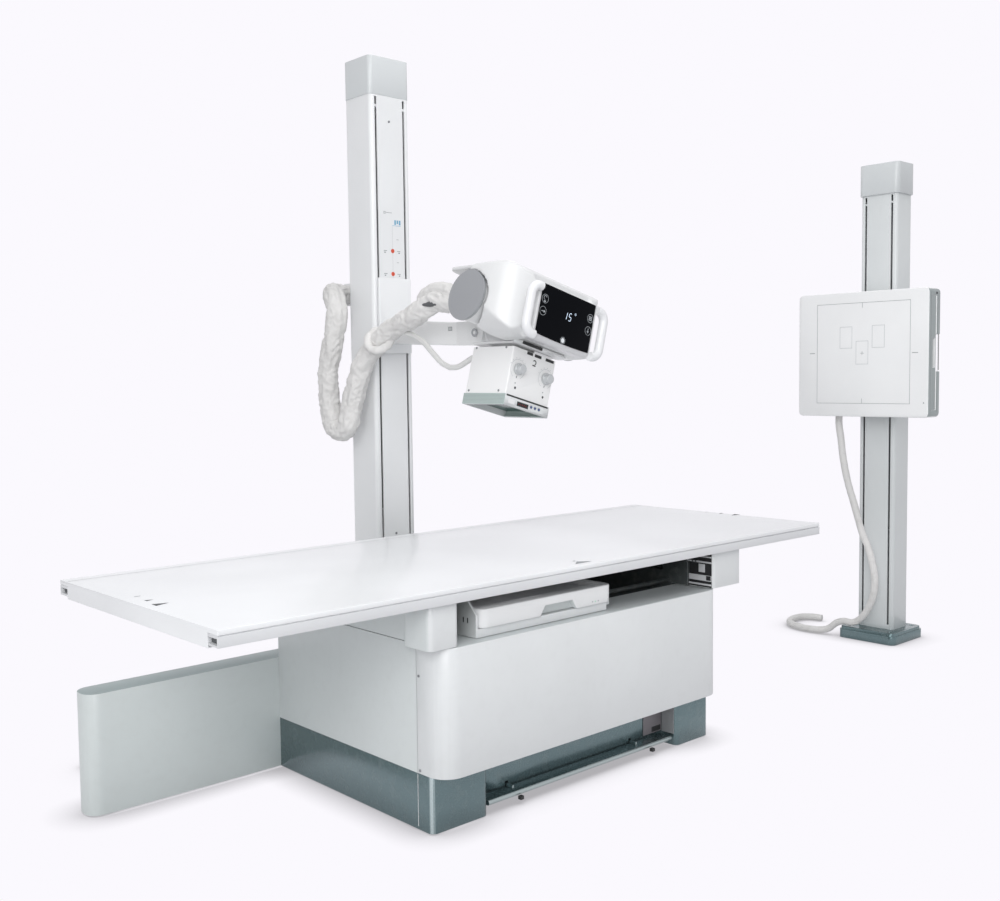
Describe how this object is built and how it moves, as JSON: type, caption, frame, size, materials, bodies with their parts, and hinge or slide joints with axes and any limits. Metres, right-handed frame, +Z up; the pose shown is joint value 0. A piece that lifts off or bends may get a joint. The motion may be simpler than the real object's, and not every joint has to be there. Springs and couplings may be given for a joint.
{
  "type": "x-ray machine",
  "caption": "Floor-mounted x-ray machine: elevating float-top table with bucky, tube column with arm, tube head and collimator, and a wall stand.",
  "frame": {"origin": "on the floor, under the middle of the table's base", "axes": "+X along the table towards the wall stand, +Y towards the tube column, +Z up"},
  "size_m": [3.549, 1.3229, 2.278],
  "materials": {
    "white_paint": "smooth gloss paint",
    "grey_paint": "satin paint",
    "slate_paint": "satin paint",
    "black_paint": "matt paint",
    "steel": "plain",
    "weight_iron": "plain",
    "white_cover": "smooth",
    "tabletop_laminate": "smooth laminate",
    "rail_aluminium": "painted white on its faces",
    "tube_alloy": "silver paint",
    "black_glass": "polished, dark behind",
    "detector_case": "fine texture",
    "knob_plastic": "smooth",
    "key_rubber": "satin",
    "sleeve": "wrinkled sleeve"
  },
  "bodies": {
    "root": {"base_frame": "steel", "skirt": "slate_paint", "front_panel": "white_paint", "left_panel": "grey_paint", "right_panel": "grey_paint", "rear_panel": "grey_paint", "deck": "grey_paint", "control_box": "grey_paint", "actuator_bodies": "rail_aluminium", "rail_housing": "grey_paint", "travel_rails": "steel", "wall_base": "slate_paint", "wall_column": "rail_aluminium", "wall_cap": "white_paint", "wall_rope": "steel", "wall_cable": "sleeve"},
    "lift": {"lift_frame": "black_paint", "lift_shroud": "black_paint", "left_cover": "white_paint", "right_cover": "white_paint", "actuator_rods": "steel", "bucky_rails": "steel"},
    "cross_carriage": {"float_carriage": "rail_aluminium"},
    "top": {"tabletop": "tabletop_laminate", "front_rail": "rail_aluminium", "rear_rail": "rail_aluminium"},
    "bucky": {"bucky_carriage": "rail_aluminium"},
    "cassette_tray": {"tray": "white_cover", "detector": "detector_case"},
    "tread": {"foot_tread": "slate_paint"},
    "column": {"column_trolley": "slate_paint", "column": "rail_aluminium", "column_cap": "white_paint", "hoist_rope": "steel"},
    "left_wheels": {"wheelset_left": "steel"},
    "right_wheels": {"wheelset_right": "steel"},
    "column_weight": {"counterweight": "weight_iron"},
    "column_pulley": {"top_pulley": "steel"},
    "arm": {"slide_carriage": "rail_aluminium", "arm": "white_cover", "arm_knuckle": "rail_aluminium", "tube_cable": "sleeve", "collimator_cable": "sleeve"},
    "head": {"tube_housing": "tube_alloy", "head_cover": "white_cover", "console": "white_cover", "display_glass": "black_glass", "handles": "white_cover"},
    "collimator": {"collimator_housing": "white_paint", "collimator_frame": "rail_aluminium"},
    "left_knob": {"knob_left": "knob_plastic"},
    "right_knob": {"knob_right": "knob_plastic"},
    "first_key": {"key_1": "key_rubber"},
    "second_key": {"key_2": "key_rubber"},
    "third_key": {"key_3": "key_rubber"},
    "wall_lift": {"wall_carriage": "rail_aluminium", "wall_bucky": "white_cover"},
    "wall_tray": {"wall_tray": "white_cover"},
    "wall_weight": {"wall_counterweight": "weight_iron"},
    "wall_pulley": {"wall_pulley": "steel"}
  },
  "joints": [
    {"name": "table_lift", "type": "slide", "parent": "root", "child": "lift", "axis": [0, 0, 1], "range_m": [0, 0.25]},
    {"name": "top_cross", "type": "slide", "parent": "lift", "child": "cross_carriage", "axis": [0, 1, 0], "range_m": [-0.1, 0.1]},
    {"name": "top_long", "type": "slide", "parent": "cross_carriage", "child": "top", "axis": [1, 0, 0], "range_m": [-0.4, 0.4]},
    {"name": "bucky_travel", "type": "slide", "parent": "lift", "child": "bucky", "axis": [1, 0, 0], "range_m": [-0.03, 0.42]},
    {"name": "tray_pull", "type": "slide", "parent": "bucky", "child": "cassette_tray", "axis": [0, -1, 0], "range_m": [0, 0.42]},
    {"name": "tread_press", "type": "hinge", "parent": "root", "child": "tread", "pos_m": [0, -0.215, 0.037], "axis": [1, 0, 0], "range_deg": [0, 4], "stiffness_Nm_per_rad": 60, "springref_deg": -14.32},
    {"name": "column_travel", "type": "slide", "parent": "root", "child": "column", "axis": [1, 0, 0], "range_m": [-0.95, 0.85]},
    {"name": "left_wheels_turn", "type": "hinge", "parent": "column", "child": "left_wheels", "pos_m": [-0.018, 0.7165, 0.0503], "axis": [0, 1, 0], "range_deg": [-1850, 1650]},
    {"name": "right_wheels_turn", "type": "hinge", "parent": "column", "child": "right_wheels", "pos_m": [0.202, 0.7165, 0.0503], "axis": [0, 1, 0], "range_deg": [-1850, 1650]},
    {"name": "tube_lift", "type": "slide", "parent": "column", "child": "arm", "axis": [0, 0, 1], "range_m": [-0.35, 0.55], "deforming": ["hoist_rope", "tube_cable"]},
    {"name": "column_weight_travel", "type": "slide", "parent": "column", "child": "column_weight", "axis": [0, 0, 1], "range_m": [-0.56, 0.36]},
    {"name": "column_pulley_turn", "type": "hinge", "parent": "column", "child": "column_pulley", "pos_m": [0.092, 0.7165, 2.186], "axis": [1, 0, 0], "range_deg": [-820, 530]},
    {"name": "head_turn", "type": "hinge", "parent": "arm", "child": "head", "pos_m": [0.092, 0, 1.3095], "axis": [0, 1, 0], "range_deg": [-135, 105], "deforming": ["collimator_cable"]},
    {"name": "collimator_swivel", "type": "hinge", "parent": "head", "child": "collimator", "pos_m": [0.07388, 0, 1.24189], "axis": [0.2588, 0, 0.9659], "range_deg": [-45, 45]},
    {"name": "left_knob_turn", "type": "hinge", "parent": "collimator", "child": "left_knob", "pos_m": [-0.00201, -0.105, 1.19048], "axis": [0, -1, 0], "range_deg": [-150, 150]},
    {"name": "right_knob_turn", "type": "hinge", "parent": "collimator", "child": "right_knob", "pos_m": [0.1139, -0.105, 1.15942], "axis": [0, -1, 0], "range_deg": [-150, 150]},
    {"name": "first_key_press", "type": "slide", "parent": "collimator", "child": "first_key", "axis": [0, 1, 0], "range_m": [0, 0.001], "stiffness_N_per_m": 300, "springref_m": -0.002},
    {"name": "second_key_press", "type": "slide", "parent": "collimator", "child": "second_key", "axis": [0, 1, 0], "range_m": [0, 0.001], "stiffness_N_per_m": 300, "springref_m": -0.002},
    {"name": "third_key_press", "type": "slide", "parent": "collimator", "child": "third_key", "axis": [0, 1, 0], "range_m": [0, 0.001], "stiffness_N_per_m": 300, "springref_m": -0.002},
    {"name": "wall_lift_travel", "type": "slide", "parent": "root", "child": "wall_lift", "axis": [0, 0, 1], "range_m": [-0.7, 0.38], "deforming": ["wall_rope", "wall_cable"]},
    {"name": "wall_tray_pull", "type": "slide", "parent": "wall_lift", "child": "wall_tray", "axis": [0, -1, 0], "range_m": [0, 0.4]},
    {"name": "wall_weight_travel", "type": "slide", "parent": "root", "child": "wall_weight", "axis": [0, 0, 1], "range_m": [-0.39, 0.71]},
    {"name": "wall_pulley_turn", "type": "hinge", "parent": "root", "child": "wall_pulley", "pos_m": [2.2375, -0.065, 1.968], "axis": [0, 1, 0], "range_deg": [-1040, 570]}
  ],
  "couplings": [
    {"joint": "left_wheels_turn", "follows": "column_travel", "rad_per_m": 33.333},
    {"joint": "right_wheels_turn", "follows": "column_travel", "rad_per_m": 33.333},
    {"joint": "column_weight_travel", "follows": "tube_lift", "ratio": -1},
    {"joint": "column_pulley_turn", "follows": "tube_lift", "rad_per_m": -25.445},
    {"joint": "wall_weight_travel", "follows": "wall_lift_travel", "ratio": -1},
    {"joint": "wall_pulley_turn", "follows": "wall_lift_travel", "rad_per_m": 25.445}
  ]
}
